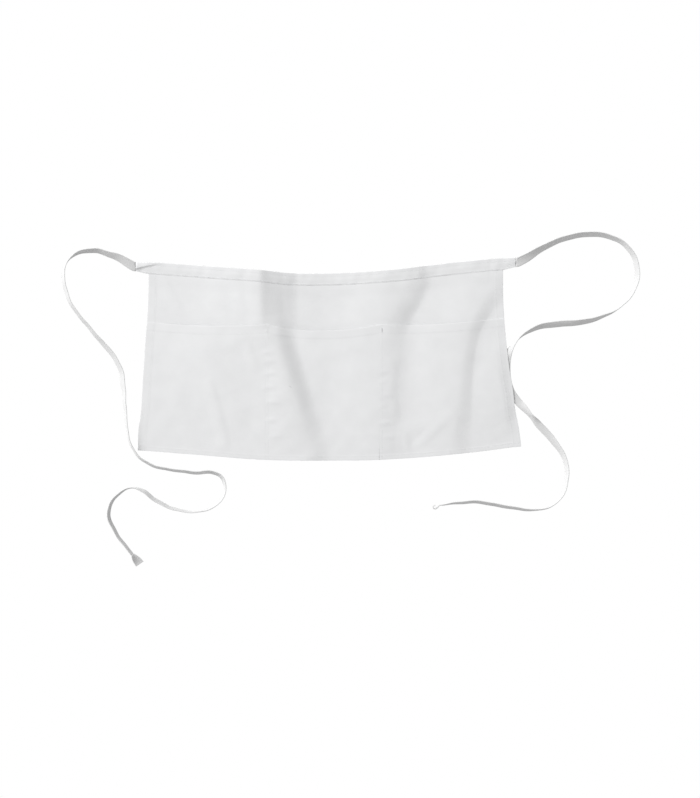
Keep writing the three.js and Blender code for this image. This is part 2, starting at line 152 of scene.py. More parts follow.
# Where the rows of stitches stop short of an edge, and the points that each row is drawn with
ROW_END = 0.0005
ROW_UNDER_MOUTH = 0.0006
ROW_OVER_MOUTH = 0.0008
TRIAL_UP = 0.1
ACROSS_POINTS = 500
PANEL_SIDE_POINTS = 200
BODY_SIDE_POINTS = 80
SEAM_POINTS = 220

# The bar tacks near the tops of the seams, dense stitches from side to side
TACK_HEIGHT = 0.0058
TACK_PITCH = 0.00042
TACK_DROP = 0.0060
TACK_THREAD = 0.00025
TACK_LIFT = 0.00004
TACK_SLANT = 0.12
LEFT_TACK_WIDTH = 0.0013
RIGHT_TACK_WIDTH = 0.0022
RIGHT_TACK_SHIFT = 0.0018

# A loose thread of dark colour on the middle pocket
LINT_X = (-0.0635, -0.0622, -0.0612)
LINT_Y = (-0.0435, -0.0441, -0.0452)
LINT_LIFT = 0.0002
LINT_LENGTH = 0.0022
LINT_THICKNESS = 0.0004

# The grid of points that the cloth is drawn with
GRID = 0.0023
FINE = 0.0007
HEM_FINE = FINE / 1.5
EDGE_STOPS = (0.0, 0.0001, 0.0002, EDGE_ROUND)
TOP_STOPS = (0.0, 0.00015, EDGE_ROUND)
SEAM_STOPS = (-0.006, -0.0035, 0.0035, 0.006)
EVEN_START = 0.0022
VALLEY_START = 0.0016
VALLEY_END = 0.0008
PAST_TURN = 0.002
LEAD_HEIGHT = 0.03  # about what the close rows at the foot and the head take up

# The folds and the seams' puckers. EAST and SOUTH point to a fold's after side.
FOLD_HEIGHT = 0.006
FOLD_SPREAD = 0.030
PUCKER_ABOVE = 0.008
PUCKER_BELOW = 0.0055
PUCKER_DROOP = 0.0015
EAST = (1.0, 0.0)
SOUTH = (0.0, -1.0)

# Colours
CLOTH_COLOR = (0.800, 0.803, 0.809)
TAPE_COLOR = (0.69, 0.69, 0.69)
THREAD_COLOR = (0.78, 0.785, 0.79)
# Grey: the loose thread's own colour, and on the right bar tack painted shade for the shade among its dense
# stitches
LINT_AND_TACK_SHADE_COLOR = (0.56, 0.56, 0.57)
FLOOR_COLOR = (0.95, 0.95, 0.95)
SKY_COLOR = (1.0, 1.0, 1.0)
CLOTH_SHADES = (0.965, 1.035)
THREAD_SHADES = (0.9, 1.1)

# The weave: each cloth's rib direction, rib width and roughness
TWILL_TURN = math.radians(32)
TWILL = (0.0009, 0.92)
TAPE_TURN = math.radians(60)
TAPE_WEAVE = (0.0008, 0.9)
RIB_DEPTH = 0.00003
SLUB_SCALE = 420.0
CLOUD_SCALE = 45.0
TWIST_SCALE = 900.0

# The light: one soft lamp far beyond the waist and to the left, and an even white sky
LAMP_TURN = math.radians(52)
LAMP_HEIGHT = math.radians(29)
LAMP_DISTANCE = 13.0
LAMP_WIDTH = 8.0
LAMP_LIGHT = 3.15
SKY_LIGHT = 0.53
FLOOR_SIZE = 60.0
FLOOR_DROP = 0.0002

# The camera hangs straight above the middle of the picture.
PICTURE = (700, 798)
METRES_PER_PIXEL = 0.0015927
CAMERA_PLACE = (0.03265, -0.0633)
CAMERA_HEIGHT = 4.0
SENSOR = 36.0
CLIP_END = 100.0


def table(columns, *rows):
    """A table as one array for each named column."""
    return dict(zip(columns.split(), np.array(rows, float).T))


# How much of the way each side edge has come in from the hem's width to the waist's, by height
SIDE_CURVE = table(
    "up left right",
    (0.0, 0.0, 0.0), (0.1, 0.04, 0.13), (0.2, 0.27, 0.33), (0.3, 0.38, 0.45), (0.4, 0.47, 0.63),
    (0.5, 0.6, 0.76), (0.6, 0.7, 0.87), (0.7, 0.84, 0.95), (0.8, 0.93, 1.0), (1.0, 1.0, 1.0),
)

# The rise of the hem and of the waist above their lowest place, as shares of EDGE_SAG
EDGE_CURVE = table(
    "across hem waist",
    (0.0, 0.63, 0.75), (0.1, 0.46, 0.6), (0.2, 0.27, 0.435), (0.3, 0.08, 0.28), (0.4, 0.0, 0.06),
    (0.5, 0.0, 0.04), (0.6, 0.02, 0.13), (0.7, 0.14, 0.3), (0.8, 0.33, 0.57), (0.9, 0.58, 0.81),
    (1.0, 0.87, 1.0),
)


def crease(before, after, *rows, toward=EAST):
    """A fold, in metres. It spreads by before on one side of its crest and by after on the other."""
    return {**table("x y rise", *rows), "before": before, "after": after, "toward": toward}


def main_fold(left, right, *rows):
    """A fold with its crest in shares of the hem's width, the body's height and FOLD_HEIGHT.

    left and right are how far it spreads to each side, as shares of FOLD_SPREAD.
    """
    crest = np.array(rows) * (HEM_WIDTH, BODY_HEIGHT, FOLD_HEIGHT)
    return crease(left * FOLD_SPREAD, right * FOLD_SPREAD, *crest)


FOLDS = [
    # left of the middle pocket, from the waist to the hem
    main_fold(5.6, 1.35, (-0.187, 0.56, 1.0), (-0.184, 0.32, 1.0), (-0.176, 0.16, 0.88),
              (-0.155, 0.07, 0.74), (-0.124, -0.06, 0.58), (-0.1, -0.19, 0.48), (-0.08, -0.33, 0.38),
              (-0.056, -0.5, 0.28)),
    # from the waist down the right seam
    main_fold(2.8, 1.3, (0.196, 0.56, 0.34), (0.195, 0.4, 0.34), (0.178, 0.31, 0.32), (0.158, 0.24, 0.3),
              (0.14, 0.16, 0.28), (0.128, 0.05, 0.28), (0.127, -0.22, 0.26), (0.13, -0.43, 0.12)),
    # the long fold down the right pocket
    main_fold(3.2, 1.2, (0.414, 0.37, 0.05), (0.378, 0.26, 0.3), (0.354, 0.15, 0.37), (0.343, -0.02, 0.4),
              (0.333, -0.18, 0.4), (0.32, -0.35, 0.34), (0.315, -0.47, 0.25)),
    # the short slant at the foot of the right pocket
    main_fold(1.3, 0.6, (0.299, -0.25, 0.06), (0.268, -0.33, 0.2), (0.236, -0.38, 0.18),
              (0.21, -0.43, 0.1)),
    # the right edge, where it lies over the right tie
    main_fold(3.2, 1.2, (0.477, 0.3, 0.0), (0.475, 0.16, 0.2), (0.47, 0.027, 0.38), (0.466, -0.04, 0.4),
              (0.467, -0.108, 0.38), (0.477, -0.175, 0.34), (0.489, -0.236, 0.26), (0.502, -0.303, 0.0)),
]

# Smaller folds that run through both layers
SMALL_FOLDS = [
    # the fold left of the middle pocket: its sharp crest and its broad east side
    crease(0.03, 0.018, (-0.1125, 0.165, 0.001), (-0.1125, 0.06, 0.001), (-0.11, 0.045, 0.0)),
    crease(0.15, 0.038, (-0.086, 0.165, 0.0042), (-0.086, 0.07, 0.0044), (-0.085, 0.03, 0.0034),
           (-0.076, -0.03, 0.0022), (-0.062, -0.09, 0.001), (-0.05, -0.15, 0.0)),
    crease(0.08, 0.03, (-0.089, 0.07, 0.0), (-0.0868, 0.0386, 0.0026), (-0.0747, -0.0012, 0.0032),
           (-0.0587, -0.049, 0.0035), (-0.046, -0.0968, 0.0026), (-0.038, -0.1159, 0.002),
           (-0.029, -0.15, 0.0011)),
    # along the right seam
    crease(0.1, 0.06, (0.092, 0.165, 0.0024), (0.086, 0.125, 0.0032), (0.082, 0.095, 0.0036),
           (0.08, 0.06, 0.0032), (0.079, 0.02, 0.0028), (0.08, -0.12, 0.0022),
           (0.08, -0.15, 0.001)),
    crease(0.04, 0.022, (0.142, 0.16, 0.0012), (0.141, 0.12, 0.0018), (0.129, 0.095, 0.0014),
           (0.113, 0.072, 0.0008), (0.106, 0.05, 0.0007), (0.104, 0.0, 0.0006), (0.104, -0.06, 0.0004),
           (0.106, -0.1, 0.0)),
    # down the right pocket, and beside the right edge where it lies over the tie
    crease(0.09, 0.03, (0.268, 0.15, 0.0), (0.26, 0.122, 0.0014), (0.248, 0.104, 0.002),
           (0.232, 0.076, 0.002), (0.219, 0.044, 0.0018), (0.212, 0.0, 0.0012), (0.206, -0.05, 0.001),
           (0.198, -0.1, 0.001), (0.194, -0.14, 0.0004)),
    crease(0.08, 0.018, (0.26, 0.09, 0.0), (0.264, 0.035, 0.0008), (0.2665, 0.0, 0.0014),
           (0.269, -0.03, 0.002), (0.274, -0.06, 0.002), (0.28, -0.1, 0.0012), (0.284, -0.13, 0.0)),
]

# Small folds of the body's cloth above the pockets
BODY_CREASES = [
    crease(0.018, 0.012, (-0.268, 0.142, 0.0), (-0.262, 0.122, 0.0005), (-0.243, 0.085, 0.0004),
           (-0.236, 0.068, 0.0)),
    crease(0.02, 0.014, (-0.146, 0.118, 0.0), (-0.145, 0.098, 0.0005), (-0.14, 0.072, 0.0004),
           (-0.136, 0.056, 0.0)),
]

# The puckers that the two seams draw up, each across its seam
PUCKERS = table(
    "start end y rise",
    (-0.112, -0.084, 0.0105, 0.0003), (-0.11, -0.078, -0.0035, 0.0004),
    (-0.11, -0.076, -0.0225, 0.00045), (-0.112, -0.08, -0.045, 0.0005),
    (-0.108, -0.074, -0.0685, 0.00045), (-0.106, -0.078, -0.097, 0.0005),
    (-0.1, -0.07, -0.1225, 0.0004),
    (0.074, 0.1, -0.02, 0.0004), (0.076, 0.096, -0.036, 0.0003), (0.078, 0.106, -0.057, 0.0003),
    (0.074, 0.098, -0.074, 0.0003), (0.072, 0.108, -0.102, 0.0005), (0.08, 0.112, -0.124, 0.0003),
)

# Small folds of the pocket panel
PANEL_CREASES = [
    crease(0.018, 0.012, (-0.196, -0.03, 0.0), (-0.188, -0.05, 0.0006), (-0.176, -0.09, 0.0007),
           (-0.168, -0.128, 0.0005), (-0.166, -0.15, 0.0003)),
    crease(0.014, 0.01, (-0.132, 0.032, 0.0), (-0.128, 0.014, 0.0005), (-0.118, -0.008, 0.0004),
           (-0.112, -0.022, 0.0)),
    crease(0.014, 0.012, (0.098, 0.006, 0.0), (0.101, -0.02, 0.0004), (0.099, -0.05, 0.0004),
           (0.104, -0.085, 0.0004), (0.11, -0.118, 0.0)),
    crease(0.014, 0.01, (0.206, -0.07, 0.0), (0.19, -0.09, 0.0002), (0.17, -0.112, 0.0003),
           (0.152, -0.128, 0.0003), (0.134, -0.14, 0.0002)),
    crease(0.008, 0.01, (0.118, -0.112, 0.0), (0.122, -0.134, 0.0004), (0.126, -0.148, 0.0003)),
]

# Small folds of the band: the roll along its left end and the left tab, steep on its south side
BAND_CREASES = [
    crease(0.012, 0.0028, (-0.268, 0.1525, 0.0), (-0.276, 0.152, 0.0006), (-0.286, 0.15, 0.0012),
           (-0.297, 0.1475, 0.0016), (-0.309, 0.1445, 0.0018), toward=SOUTH),
]

# Each tie's route past its straight lead: x and y of its centre line, and lean, the angle in degrees by
# which the tape is rolled up from flat on its right-hand edge. At 90 it stands on edge.
LEFT_ROUTE = [
    (-0.334, 0.1605, 152), (-0.353, 0.167, 134), (-0.373, 0.173, 126), (-0.397, 0.17, 112),
    (-0.414, 0.158, 86), (-0.423, 0.139, 64), (-0.42, 0.112, 58), (-0.411, 0.088, 64),
    (-0.393, 0.063, 64), (-0.369, 0.035, 58), (-0.353, 0.018, 50), (-0.34, -0.001, 52),
    (-0.331, -0.021, 48), (-0.328, -0.043, 50), (-0.326, -0.068, 62), (-0.323, -0.094, 70),
    (-0.32, -0.12, 74), (-0.314, -0.14, 74), (-0.303, -0.156, 72), (-0.286, -0.167, 70),
    (-0.262, -0.174, 70), (-0.235, -0.178, 68), (-0.209, -0.18, 66), (-0.187, -0.18, 64),
    (-0.172, -0.188, 64), (-0.166, -0.207, 66), (-0.175, -0.228, 78), (-0.195, -0.24, 84),
    (-0.221, -0.243, 80), (-0.251, -0.237, 72), (-0.278, -0.223, 66), (-0.297, -0.21, 68),
    (-0.312, -0.205, 88), (-0.329, -0.21, 100), (-0.345, -0.226, 106), (-0.351, -0.248, 110),
    (-0.339, -0.277, 108), (-0.313, -0.31, 106),
]
RIGHT_ROUTE = [
    (0.314, 0.162, 20), (0.332, 0.173, 36), (0.356, 0.185, 47), (0.384, 0.195, 50), (0.416, 0.199, 50),
    (0.447, 0.195, 56), (0.469, 0.183, 60), (0.485, 0.161, 57), (0.49, 0.134, 54), (0.483, 0.107, 66),
    (0.464, 0.084, 86), (0.439, 0.069, 108), (0.407, 0.06, 130), (0.37, 0.056, 142),
    (0.338, 0.052, 132), (0.313, 0.042, 108), (0.296, 0.027, 84), (0.2875, 0.014, 44), (0.283, 0.0, 8),
    (0.2825, -0.025, 4), (0.2885, -0.05, 2), (0.3025, -0.07, 6), (0.313, -0.081, 40), (0.321, -0.091, 58),
    (0.333, -0.104, 20), (0.351, -0.123, 24), (0.365, -0.141, 46), (0.375, -0.161, 58),
    (0.378, -0.184, 63), (0.374, -0.208, 70), (0.361, -0.228, 82), (0.34, -0.239, 94),
    (0.313, -0.24, 108), (0.278, -0.234, 114), (0.236, -0.228, 114), (0.203, -0.229, 108),
    (0.179, -0.232, 94),
]
LEFT_LEAD_LEANS = (172, 170)
RIGHT_LEAD_LEANS = (8, 10)
LEFT_END_ROUTE = [
    (-0.313, -0.31, 106), (-0.31, -0.3145, 132), (-0.3065, -0.3195, 158), (-0.302, -0.326, 174),
]
RIGHT_END_ROUTE = [
    (0.179, -0.232, 94), (0.1748, -0.2329, 92), (0.1713, -0.2366, 90), (0.1674, -0.2382, 90),
    (0.1646, -0.2366, 90), (0.1652, -0.2332, 90), (0.1682, -0.2324, 90),
]


def smooth(share):
    share = np.clip(share, 0.0, 1.0)
    return share * share * (3 - 2 * share)


def mix(start, end, share):
    return start + (end - start) * share


def curve_value(rows, key, column, place):
    """A table's column at places along its key, on a smooth curve through the rows."""
    keys = rows[key]
    values = rows[column]
    last = len(keys) - 1
    row = np.clip(np.searchsorted(keys, place, side="left") - 1, 0, last - 1)
    share = (place - keys[row]) / (keys[row + 1] - keys[row])
    start = values[row]
    end = values[row + 1]
    slope_in = (end - values[np.maximum(row - 1, 0)]) / 2
    slope_out = (values[np.minimum(row + 2, last)] - start) / 2
    cube = share**3
    square = share**2
    return (
        start * (2 * cube - 3 * square + 1)
        + slope_in * (cube - 2 * square + share)
        + end * (3 * square - 2 * cube)
        + slope_out * (cube - square)
    )


# The body's outline. up is a height above the hem.
HEM_BASE = -(BODY_HEIGHT + EDGE_SAG) / 2
WAIST_BASE = HEM_BASE + BODY_HEIGHT
HEM_EDGES = (-HEM_WIDTH / 2, HEM_WIDTH / 2)
WAIST_EDGES = (WAIST_SHIFT - WAIST_WIDTH / 2, WAIST_SHIFT + WAIST_WIDTH / 2)
SEAMS = (
    MIDDLE_POCKET_SHIFT - MIDDLE_POCKET_WIDTH / 2,
    MIDDLE_POCKET_SHIFT + MIDDLE_POCKET_WIDTH / 2,
)
BAND_FOOT = BODY_HEIGHT - BAND_HEIGHT
WAIST_END = BODY_HEIGHT - CLOTH - CLEARANCE
BAND_THICKNESS = 3 * CLOTH + 2 * CLEARANCE
BAND_DEPTH = BAND_HEIGHT - CLOTH


def edge_at(side, up):
    column = ("left", "right")[side]
    return mix(HEM_EDGES[side], WAIST_EDGES[side], curve_value(SIDE_CURVE, "up", column, up / BODY_HEIGHT))


def height_at(x, up):
    """The y of a point at x, up above the hem."""
    left = edge_at(0, up)
    right = edge_at(1, up)
    across = np.clip((x - left) / (right - left), 0, 1)
    hem = HEM_BASE + EDGE_SAG * curve_value(EDGE_CURVE, "across", "hem", across)
    waist = WAIST_BASE + EDGE_SAG * curve_value(EDGE_CURVE, "across", "waist", across)
    return mix(hem, waist, up / BODY_HEIGHT)


def fold_rise(fold, x, y):
    """How high one fold lifts the cloth: a crest that falls away on both sides."""
    nearest = np.full(np.shape(x), np.inf)
    rise = np.zeros(np.shape(x))
    spread = np.ones(np.shape(x))
    toward = fold["toward"]
    for row in range(len(fold["x"]) - 1):
        start = (fold["x"][row], fold["y"][row])
        run = (fold["x"][row + 1] - start[0], fold["y"][row + 1] - start[1])
        reach = ((x - start[0]) * run[0] + (y - start[1]) * run[1]) / (run[0] ** 2 + run[1] ** 2)
        share = np.clip(reach, 0, 1)
        off_x = x - start[0] - run[0] * share
        off_y = y - start[1] - run[1] * share
        distance = np.hypot(off_x, off_y)
        closer = distance < nearest
        past = off_x * toward[0] + off_y * toward[1] > 0
        nearest = np.where(closer, distance, nearest)
        rise = np.where(closer, mix(fold["rise"][row], fold["rise"][row + 1], share), rise)
        spread = np.where(closer, np.where(past, fold["after"], fold["before"]), spread)
    return rise * (1 + np.cos(np.pi * np.minimum(nearest / spread, 1))) / 2


def folds_rise(folds, x, y):
    return sum(fold_rise(fold, x, y) for fold in folds)


def ground_at(x, y):
    """The underside of the body: the surface that it lies on, and what the folds add."""
    large = np.max([fold_rise(fold, x, y) for fold in FOLDS], axis=0)
    return large + folds_rise(SMALL_FOLDS, x, y)


def unevenness(x, y, seed, height, shortest, longest):
    """A gentle sum of waves in mixed directions, the same each run."""
    generator = np.random.default_rng(seed)
    total = np.zeros(np.shape(x))
    for _ in range(UNEVEN_WAVES):
        turn, phase = generator.uniform(0, 2 * math.pi, 2)
        length = generator.uniform(shortest, longest)
        along = x * math.cos(turn) + y * math.sin(turn)
        total += np.sin(2 * math.pi * along / length + phase)
    return height * total / math.sqrt(UNEVEN_WAVES)


def pocket_share(x, up):
    """Which pocket a point is in, and how far across it, from 0 to 1 between its pads."""
    stops = (edge_at(0, up), SEAMS[0], SEAMS[1], edge_at(1, up))
    pads = (SIDE_HEM + TURN_STEP, SEAM_WIDTH / 2, SEAM_WIDTH / 2, SIDE_HEM + TURN_STEP)
    pocket = (x > SEAMS[0]).astype(int) + (x > SEAMS[1]).astype(int)
    share = np.zeros(np.shape(x))
    for index in range(3):
        first = stops[index] + pads[index]
        last = stops[index + 1] - pads[index + 1]
        share = np.where(pocket == index, (x - first) / (last - first), share)
    return pocket, np.clip(share, 0, 1)


def mouth_at(x):
    """The mouth's height above the hem."""
    pocket, share = pocket_share(x, np.full(np.shape(x), POCKET_HEIGHT))
    dip = MOUTH_DIP * np.sin(np.pi * share) ** MOUTH_FULLNESS
    outward = np.select([pocket == 0, pocket == 2], [1 - share, share], 0.0)
    return POCKET_HEIGHT - POCKET_SIDE_DROP * outward**2 - dip


def edge_distance(x, up):
    return np.minimum(x - edge_at(0, up), edge_at(1, up) - x)


def rounded(low, high, distance):
    """A sheet's two faces, drawn together at a folded edge."""
    near = np.clip(distance / EDGE_ROUND, 0, 1)
    full = np.maximum(np.sqrt(1 - (1 - near) ** 2), THINNEST_EDGE)
    middle = (low + high) / 2
    return middle + (low - middle) * full, middle + (high - middle) * full


def turned(distance, hem):
    """1 where a hem's cloth is turned under, falling to 0 past it."""
    return 1 - smooth((distance - hem) / TURN_STEP)


def body_faces(x, up):
    """The body's y, and its under and upper faces. It climbs from the surface into the band's slot."""
    y = height_at(x, up)
    climb = smooth((up - BAND_FOOT + BAND_CLIMB) / (BAND_CLIMB - 2 * TURN_STEP))
    low = ground_at(x, y) + (CLOTH + CLEARANCE) * climb
    side = edge_distance(x, up)
    below_band = 1 - smooth((up - BAND_FOOT + BAND_CLIMB) / BAND_CLIMB)
    turn = HEM_TURN * np.maximum(turned(side, SIDE_HEM) * below_band, turned(up, BOTTOM_HEM))
    high = low + CLOTH + turn
    open_cloth = smooth((up - mouth_at(x) - MOUTH_GAP) / MOUTH_FADE) * below_band
    small = folds_rise(BODY_CREASES, x, y)
    lift = (small + UNEVEN_HEIGHT + unevenness(x, y, BODY_SEED, *UNEVEN)) * open_cloth
    lift -= STITCH_DIP * stitch_valley(side - SIDE_STITCH) * open_cloth
    low, high = rounded(low, high, np.minimum(side, up))
    return y, low, high + np.maximum(lift, LEAST_LIFT)


def pucker_rise(x, y):
    """How high the seams' puckers lift the cloth, each highest in its middle and drooping at its ends."""
    total = np.zeros(np.shape(x))
    for start, end, level, rise in zip(*PUCKERS.values()):
        middle = (start + end) / 2
        along = np.clip(np.abs(x - middle) / ((end - start) / 2), 0, 1)
        off = y - level + PUCKER_DROOP * along**2
        reach = np.where(off > 0, PUCKER_ABOVE, PUCKER_BELOW)
        across = (1 + np.cos(np.pi * np.clip(np.abs(off) / reach, 0, 1))) / 2
        total += rise * across * (1 + np.cos(np.pi * along)) / 2
    return total


def stitch_valley(distance):
    """1 on a stitch row, falling to 0 beside it."""
    return np.exp(-((distance / VALLEY_WIDTH) ** 2))


def panel_faces(x, up):
    """The pocket panel's y, and its under and upper faces."""
    y = height_at(x, up)
    side = edge_distance(x, up)
    mouth = mouth_at(x)
    _, share = pocket_share(x, up)
    room = POCKET_ROOM * np.sin(np.pi * share) ** ROOM_FULLNESS * smooth(up / (ROOM_TOP * POCKET_HEIGHT))
    turn = HEM_TURN * np.maximum(turned(side, SIDE_HEM), turned(up, BOTTOM_HEM))
    low = ground_at(x, y) + CLOTH + turn + CLEARANCE + room
    mouth_turn = HEM_TURN * smooth((up - mouth + MOUTH_HEM) / TURN_STEP)
    high = low + CLOTH + mouth_turn
    inside = smooth(up / EDGE_FADE) * smooth(side / EDGE_FADE)
    small = folds_rise(PANEL_CREASES, x, y) + pucker_rise(x, y)
    lift = (small + UNEVEN_HEIGHT + unevenness(x, y, PANEL_SEED, *UNEVEN)) * inside
    below_hem = smooth((mouth - up) / SEAM_TOP_FADE)
    dip = stitch_valley(side - SIDE_STITCH) + stitch_valley(up - BOTTOM_STITCH)
    dip += stitch_valley(mouth - up - MOUTH_STITCH)
    dip += below_hem * sum(stitch_valley(x - seam - off) for seam in SEAMS for off in SEAM_STITCHES)
    low, high = rounded(low, high, np.minimum(np.minimum(side, up), mouth - up))
    lift = np.maximum(lift, 0)
    return y, low + lift, high + lift - STITCH_DIP * np.minimum(dip, 1)


def new_object(name, vertices, faces, material):
    """A mesh object from arrays of points and of faces with the same number of corners."""
    mesh = bpy.data.meshes.new(name)
    faces = [np.asarray(block) for block in faces]
    corners = np.concatenate([block.ravel() for block in faces])
    sizes = np.concatenate([np.full(len(block), block.shape[1]) for block in faces])
    mesh.vertices.add(len(vertices))
    mesh.vertices.foreach_set("co", np.asarray(vertices, np.float32).ravel())
    mesh.loops.add(len(corners))
    mesh.loops.foreach_set("vertex_index", corners.astype(np.int32))
    mesh.polygons.add(len(sizes))
    mesh.polygons.foreach_set("loop_start", (np.cumsum(sizes) - sizes).astype(np.int32))
    mesh.polygons.foreach_set("loop_total", sizes.astype(np.int32))
    mesh.update(calc_edges=True)
    mesh.validate()
    mesh.polygons.foreach_set("use_smooth", np.ones(len(mesh.polygons), bool))
    mesh.materials.append(material)
    thing = bpy.data.objects.new(name, mesh)
    bpy.context.scene.collection.objects.link(thing)
    return thing


def grid_faces(tall, wide, wrap=False):
    """Quads over a grid of points, row by row."""
    rows = np.arange(tall - 1)[:, None] * wide
    columns = np.arange(wide if wrap else wide - 1)[None, :]
    after = (columns + 1) % wide
    corners = [rows + columns, rows + after, rows + wide + after, rows + wide + columns]
    return np.stack(corners, axis=-1).reshape(-1, 4)


def sheet_object(name, x, y, low, high, material):
    """A closed sheet from grids of its two faces."""
    tall, wide = x.shape
    count = tall * wide
    under = np.stack([x, y, low], axis=-1).reshape(-1, 3)
    upper = np.stack([x, y, high], axis=-1).reshape(-1, 3)
    grid = grid_faces(tall, wide)
    index = np.arange(count).reshape(tall, wide)
    rim = np.concatenate([index[0, :-1], index[:-1, -1], index[-1, :0:-1], index[:0:-1, 0]])
    after = np.roll(rim, -1)
    sides = np.stack([rim, after, after + count, rim + count], axis=-1)
    return new_object(name, np.concatenate([under, upper]), [grid[:, ::-1], grid + count, sides], material)


def steps(start, end, longest):
    """Places from start to before end, at most longest apart."""
    count = max(1, math.ceil(abs(end - start) / longest - 1e-9))
    return start + (end - start) * np.arange(count) / count


def places(stops, longest):
    """Places through the stops, each stretch in even steps."""
    runs = [steps(start, end, longest) for start, end in zip(stops[:-1], stops[1:])]
    return np.concatenate([*runs, [stops[-1]]])


def hem_places(stitch, hem):
    """Places from a folded edge over its stitch row to the end of its turned cloth."""
    valley = stitch - VALLEY_START
    fine = places((valley, stitch + VALLEY_END, hem + TURN_STEP, hem + PAST_TURN), HEM_FINE)
    return np.concatenate([EDGE_STOPS, steps(EVEN_START, valley, GRID), fine])


def column_grid(up):
    """The x of each column of the cloth at the heights up, close together at the hems and the seams."""
    side = hem_places(SIDE_STITCH, SIDE_HEM)
    seam = places(SEAM_STOPS, FINE)
    left = edge_at(0, up)
    right = edge_at(1, up)
    stops = (left, np.full_like(left, SEAMS[0]), np.full_like(left, SEAMS[1]), right)
    columns = [left[:, None] + side[None, :]]
    leads = (side[-1], seam[-1], seam[-1], side[-1])
    for pocket, width in enumerate((HEM_WIDTH / 3, MIDDLE_POCKET_WIDTH, HEM_WIDTH / 3)):
        first = stops[pocket] + leads[pocket]
        last = stops[pocket + 1] - leads[pocket + 1]
        share = np.linspace(0, 1, round(width / GRID) + 1)[1:-1]
        columns.append(mix(first[:, None], last[:, None], share[None, :]))
        if pocket < 2:
            columns.append(np.broadcast_to(SEAMS[pocket] + seam, (len(up), len(seam))))
    columns.append(right[:, None] - side[::-1][None, :])
    return np.concatenate(columns, axis=1)


def tape_line(route, longest):
    """Even places along a smooth curve through a route's rows: points, directions, leans and distances."""
    rows = table("x y lean", *route)
    rows["row"] = np.arange(len(route), dtype=float)
    knots = np.stack([rows["x"], rows["y"]], axis=-1)
    knots = np.concatenate([2 * knots[:1] - knots[1:2], knots, 2 * knots[-1:] - knots[-2:-1]])
    share = np.linspace(0, 1, SPAN_POINTS, endpoint=False)[:, None]
    points = []
    for before, start, end, after in zip(knots, knots[1:], knots[2:], knots[3:]):
        gaps = [math.dist(*pair) ** 0.5 for pair in ((before, start), (start, end), (end, after))]
        chord = (end - start) / gaps[1]
        slope_in = (start - before) / gaps[0] - (end - before) / (gaps[0] + gaps[1]) + chord
        slope_out = chord - (after - start) / (gaps[1] + gaps[2]) + (after - end) / gaps[2]
        slope_in = slope_in * gaps[1]
        slope_out = slope_out * gaps[1]
        square = -3 * start + 3 * end - 2 * slope_in - slope_out
        cube = 2 * start - 2 * end + slope_in + slope_out
        points.append(start + slope_in * share + square * share**2 + cube * share**3)
    points = np.concatenate([*points, knots[-2:-1]])
    place = np.linspace(0, len(route) - 1, len(points))
    gone = np.concatenate([[0], np.cumsum(np.hypot(*np.diff(points, axis=0).T))])
    even = np.linspace(0, gone[-1], math.ceil(gone[-1] / longest) + 1)
    x = np.interp(even, gone, points[:, 0])
    y = np.interp(even, gone, points[:, 1])
    lean = curve_value(rows, "row", "lean", np.interp(even, gone, place))
    heading = np.unwrap(np.arctan2(np.gradient(y), np.gradient(x)))
    return {"x": x, "y": y, "heading": heading, "lean": np.radians(lean), "gone": even}


def tape_frame(line):
    """For each place along a tape, the directions across it and out of its face."""
    heading = line["heading"]
    lean = line["lean"]
    left = np.stack([-np.sin(heading), np.cos(heading), np.zeros_like(heading)], axis=-1)
    up = np.array([0.0, 0.0, 1.0])
    broad = left * np.cos(lean)[:, None] + up * np.sin(lean)[:, None]
    thin = -left * np.sin(lean)[:, None] + up * np.cos(lean)[:, None]
    return broad, thin


def tape_rings(line, width, thick, bow, ripple):
    """Rings of points round a tape, and its centres, with its lowest edge on the surface.

    bow is the angle through which the section is bowed from edge to edge, and ripple how far its face
    stands out at each place.
    """
    broad, thin = tape_frame(line)
    across = np.concatenate([TAPE_ACROSS, TAPE_ACROSS[::-1]])
    half = np.concatenate([-TAPE_FULL, TAPE_FULL[::-1]]) / 2
    turn = across[None, :] * bow[:, None]
    bowed = np.where(np.abs(bow) < LEAST_BOW, LEAST_BOW, bow)[:, None]
    radius = width[:, None] / bowed
    flat = radius * np.sin(across[None, :] * bowed)
    off = radius * (1 - np.cos(across[None, :] * bowed)) + ripple[:, None]
    depth = half[None, :] * thick[:, None]
    flat = flat - depth * np.sin(turn)
    off = off + depth * np.cos(turn)
    centre = np.stack([line["x"], line["y"], np.zeros_like(line["x"])], axis=-1)
    rings = centre[:, None, :] + flat[..., None] * broad[:, None, :] + off[..., None] * thin[:, None, :]
    drop = rings[..., 2].min(axis=1)
    rings[..., 2] -= drop[:, None]
    centre[:, 2] = -drop
    centre = centre + ripple[:, None] * thin
    return rings, centre


def tube_object(name, rings, material):
    """A closed body through rings of points."""
    count, size = rings.shape[:2]
    caps = [np.arange(size)[None, ::-1], (count - 1) * size + np.arange(size)[None, :]]
    return new_object(name, rings.reshape(-1, 3), [grid_faces(count, size, wrap=True), *caps], material)


def unit(vectors):
    return vectors / np.linalg.norm(vectors, axis=-1, keepdims=True)


